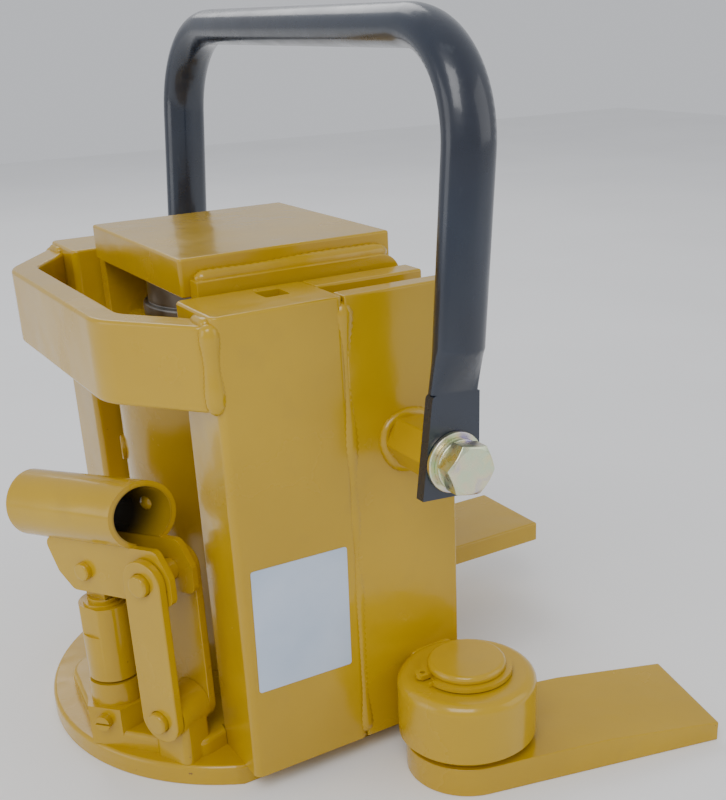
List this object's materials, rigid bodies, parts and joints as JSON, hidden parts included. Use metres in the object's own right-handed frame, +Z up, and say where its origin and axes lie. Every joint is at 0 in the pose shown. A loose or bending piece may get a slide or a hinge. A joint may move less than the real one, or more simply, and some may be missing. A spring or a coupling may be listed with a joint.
{
  "type": "toe jack",
  "caption": "Hydraulic toe jack with a welded steel frame, rising head and toe, two swing-out feet, hand pump lever and folding carry handle.",
  "frame": {"origin": "centre of the round base disc's underside, on the ram's axis", "axes": "+X along the lifting toe, +Y to the left of the toe, +Z up along the ram"},
  "size_m": [0.3357, 0.4486, 0.387],
  "materials": {
    "yellow_enamel": "gloss",
    "handle_enamel": "gloss",
    "zinc_plate": "satin",
    "ram_steel": "polished",
    "saddle_steel": "satin",
    "seal_rubber": "matte",
    "label_film": "satin"
  },
  "bodies": {
    "frame": {"base_disc": "yellow_enamel", "jack_base": "yellow_enamel", "oil_tank": "yellow_enamel", "cylinder_barrel": "yellow_enamel", "tank_cover": "yellow_enamel", "gland_nut": "yellow_enamel", "rod_wiper": "seal_rubber", "filler_plug": "yellow_enamel", "pump_cylinder": "yellow_enamel", "pump_wiper": "yellow_enamel", "side_box_left": "yellow_enamel", "side_box_right": "yellow_enamel", "side_box_cap_left": "yellow_enamel", "side_box_cap_right": "yellow_enamel", "side_plate_left": "yellow_enamel", "side_plate_right": "yellow_enamel", "guide_plate_left": "yellow_enamel", "guide_plate_right": "yellow_enamel", "front_loop": "yellow_enamel", "foot_boss_left": "yellow_enamel", "foot_boss_right": "yellow_enamel", "handle_spacers": "yellow_enamel", "handle_bolts": "zinc_plate", "handle_washers": "zinc_plate", "handle_lock_washers": "zinc_plate", "link_pin_lower": "yellow_enamel", "blank_label": "label_film"},
    "release_valve": {"release_screw": "yellow_enamel"},
    "carriage": {"head_plate": "yellow_enamel", "cheek_left": "yellow_enamel", "cheek_right": "yellow_enamel", "back_plate": "yellow_enamel", "toe": "yellow_enamel"},
    "ram": {"ram_rod": "ram_steel", "ram_piston": "ram_steel", "piston_seal": "seal_rubber", "ram_saddle": "saddle_steel"},
    "foot_left": {"foot_plate_left": "yellow_enamel", "foot_pin_left": "yellow_enamel", "circlip_left": "yellow_enamel"},
    "foot_right": {"foot_plate_right": "yellow_enamel", "foot_pin_right": "yellow_enamel", "circlip_right": "yellow_enamel"},
    "handle": {"carry_handle": "handle_enamel"},
    "links": {"link_outer": "yellow_enamel", "link_inner": "yellow_enamel", "link_pin_upper": "yellow_enamel"},
    "lever": {"lever_socket": "yellow_enamel", "plunger_pin": "yellow_enamel"},
    "plunger": {"plunger": "yellow_enamel"}
  },
  "joints": [
    {"name": "carriage_lift", "type": "slide", "parent": "frame", "child": "carriage", "axis": [0, 0, 1], "range_m": [0, 0.085]},
    {"name": "ram_lift", "type": "slide", "parent": "frame", "child": "ram", "axis": [0, 0, 1], "range_m": [0, 0.085]},
    {"name": "foot_left_swing", "type": "hinge", "parent": "frame", "child": "foot_left", "pos_m": [0.0568, 0.158, 0.03], "axis": [0, 0, 1], "range_deg": [-13, 75]},
    {"name": "foot_right_swing", "type": "hinge", "parent": "frame", "child": "foot_right", "pos_m": [0.0568, -0.158, 0.03], "axis": [0, 0, 1], "range_deg": [-75, 13]},
    {"name": "handle_fold", "type": "hinge", "parent": "frame", "child": "handle", "pos_m": [0.046, 0, 0.182], "axis": [0, 1, 0], "range_deg": [-85, 90]},
    {"name": "lever_tilt", "type": "hinge", "parent": "links", "child": "lever", "pos_m": [-0.07605, -0.07687, 0.1215], "axis": [0.8988, 0.4384, 0], "range_deg": [-5, 32]},
    {"name": "link_swing", "type": "hinge", "parent": "frame", "child": "links", "pos_m": [-0.07605, -0.07687, 0.04], "axis": [0.8988, 0.4384, 0], "range_deg": [-3, 1]},
    {"name": "plunger_slide", "type": "slide", "parent": "frame", "child": "plunger", "axis": [0, 0, 1], "range_m": [-0.005, 0.025]},
    {"name": "release_turn", "type": "hinge", "parent": "frame", "child": "release_valve", "pos_m": [-0.10873, -0.04713, 0.028], "axis": [-0.7431, -0.6691, 0], "range_deg": [0, 180]}
  ],
  "couplings": [
    {"joint": "ram_lift", "follows": "carriage_lift", "ratio": 1},
    {"joint": "link_swing", "follows": "lever_tilt", "ratio": -0.065},
    {"joint": "plunger_slide", "follows": "lever_tilt", "m_per_rad": 0.0423}
  ]
}
